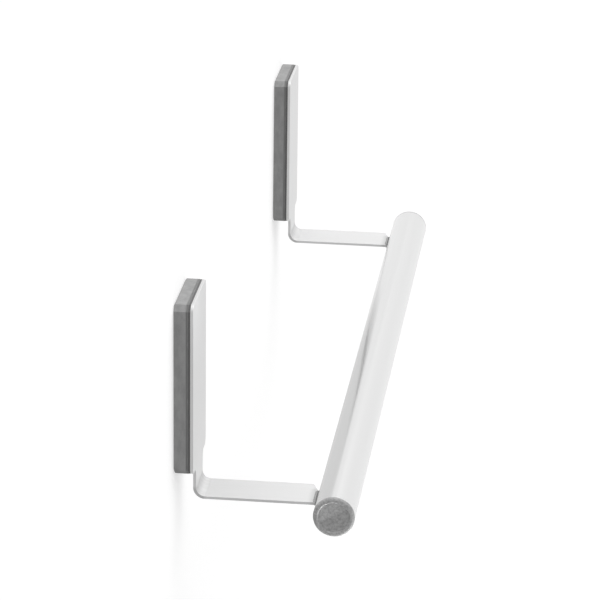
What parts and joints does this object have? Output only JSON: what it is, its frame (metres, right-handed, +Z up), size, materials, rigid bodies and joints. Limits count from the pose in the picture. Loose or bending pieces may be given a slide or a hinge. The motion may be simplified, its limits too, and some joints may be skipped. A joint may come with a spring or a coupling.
{
  "type": "magnetic towel holder",
  "caption": "Round steel towel bar on bent strip brackets, each held to a steel wall, door or appliance by a rubber-covered magnet pad.",
  "frame": {"origin": "on the wall plane, midway between the two magnet faces, level with the bar's axis", "axes": "+X along the bar towards its right end, +Y into the wall, +Z up"},
  "size_m": [0.353, 0.07, 0.0885],
  "materials": {
    "bar_steel": "satin, ground along the tube",
    "bracket_steel": "satin sheet",
    "weld_metal": "as welded, brushed down",
    "cap_plastic": "fine moulded grain",
    "cover_rubber": "matt grey rubber",
    "magnet_ferrite": "ground sintered ceramic",
    "keeper_steel": "blackened sheet",
    "pad_foam": "closed-cell foam tape"
  },
  "bodies": {
    "root": {"bar_tube": "bar_steel", "left_end_cap": "cap_plastic", "right_end_cap": "cap_plastic", "left_bracket": "bracket_steel", "right_bracket": "bracket_steel", "left_weld": "weld_metal", "right_weld": "weld_metal", "left_magnet_cover": "cover_rubber", "right_magnet_cover": "cover_rubber", "left_magnet": "magnet_ferrite", "right_magnet": "magnet_ferrite", "left_keeper_plate": "keeper_steel", "right_keeper_plate": "keeper_steel", "left_adhesive_pad": "pad_foam", "right_adhesive_pad": "pad_foam"}
  },
  "joints": []
}
